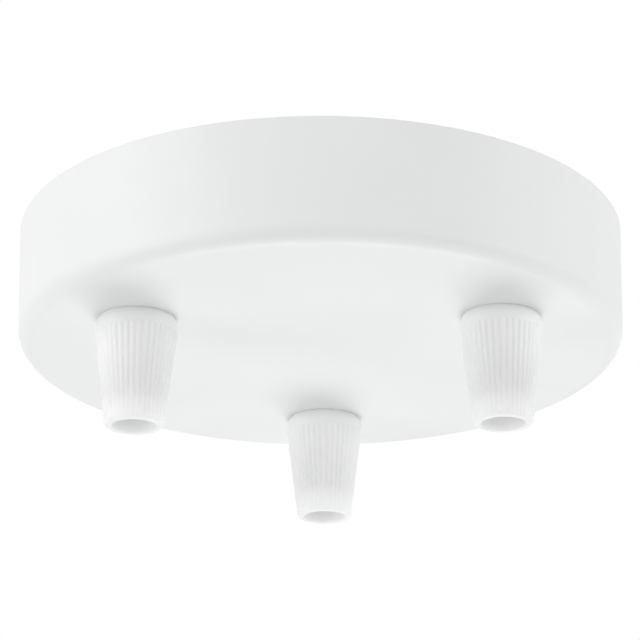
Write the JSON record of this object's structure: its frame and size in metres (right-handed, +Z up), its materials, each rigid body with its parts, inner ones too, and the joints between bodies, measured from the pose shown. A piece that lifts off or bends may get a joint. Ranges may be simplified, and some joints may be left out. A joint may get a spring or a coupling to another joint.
{
  "type": "ceiling rose",
  "caption": "Round white metal ceiling rose for pendant cords: shallow cup canopy with ribbed tapered screw-cap cord grips, ceiling bracket and terminal block.",
  "frame": {"origin": "centre of the ceiling plane, on the canopy's axis", "axes": "+Z up, away from the face that shows; +X along the bracket; the rear cord grip is at +Y"},
  "size_m": [0.12, 0.12, 0.045],
  "materials": {
    "white_paint": "satin",
    "zinc_steel": "satin",
    "block_plastic": "matte",
    "brass": "satin",
    "white_nylon": "satin"
  },
  "bodies": {
    "rose": {"canopy": "white_paint", "ceiling_bracket": "zinc_steel", "side_screw_left": "zinc_steel", "side_screw_right": "zinc_steel", "block_screws": "zinc_steel", "terminal_screws": "zinc_steel", "earth_screw": "zinc_steel", "earth_washer": "zinc_steel", "lock_washer_rear": "zinc_steel", "lock_washer_left": "zinc_steel", "lock_washer_right": "zinc_steel", "lock_nut_rear": "zinc_steel", "lock_nut_left": "zinc_steel", "lock_nut_right": "zinc_steel", "terminal_block": "block_plastic", "insert_left": "brass", "insert_middle": "brass", "insert_right": "brass", "grip_stem_rear": "white_nylon", "grip_stem_left": "white_nylon", "grip_stem_right": "white_nylon"},
    "collet_body_rear": {"collet_rear": "white_nylon"},
    "cap_body_rear": {"grip_cap_rear": "white_nylon"},
    "collet_body_left": {"collet_left": "white_nylon"},
    "cap_body_left": {"grip_cap_left": "white_nylon"},
    "collet_body_right": {"collet_right": "white_nylon"},
    "cap_body_right": {"grip_cap_right": "white_nylon"}
  },
  "joints": [
    {"name": "grip_travel_rear", "type": "slide", "parent": "rose", "child": "collet_body_rear", "axis": [0, 0, -1], "range_m": [0, 0.006]},
    {"name": "grip_turn_rear", "type": "hinge", "parent": "collet_body_rear", "child": "cap_body_rear", "pos_m": [0, 0.04, -0.0235], "axis": [0, 0, -1], "range_deg": [0, 2160]},
    {"name": "grip_travel_left", "type": "slide", "parent": "rose", "child": "collet_body_left", "axis": [0, 0, -1], "range_m": [0, 0.006]},
    {"name": "grip_turn_left", "type": "hinge", "parent": "collet_body_left", "child": "cap_body_left", "pos_m": [-0.03464, -0.02, -0.0235], "axis": [0, 0, -1], "range_deg": [0, 2160]},
    {"name": "grip_travel_right", "type": "slide", "parent": "rose", "child": "collet_body_right", "axis": [0, 0, -1], "range_m": [0, 0.006]},
    {"name": "grip_turn_right", "type": "hinge", "parent": "collet_body_right", "child": "cap_body_right", "pos_m": [0.03464, -0.02, -0.0235], "axis": [0, 0, -1], "range_deg": [0, 2160]}
  ],
  "couplings": [
    {"joint": "grip_travel_rear", "follows": "grip_turn_rear", "m_per_rad": 0.00015915},
    {"joint": "grip_travel_left", "follows": "grip_turn_left", "m_per_rad": 0.00015915},
    {"joint": "grip_travel_right", "follows": "grip_turn_right", "m_per_rad": 0.00015915}
  ]
}
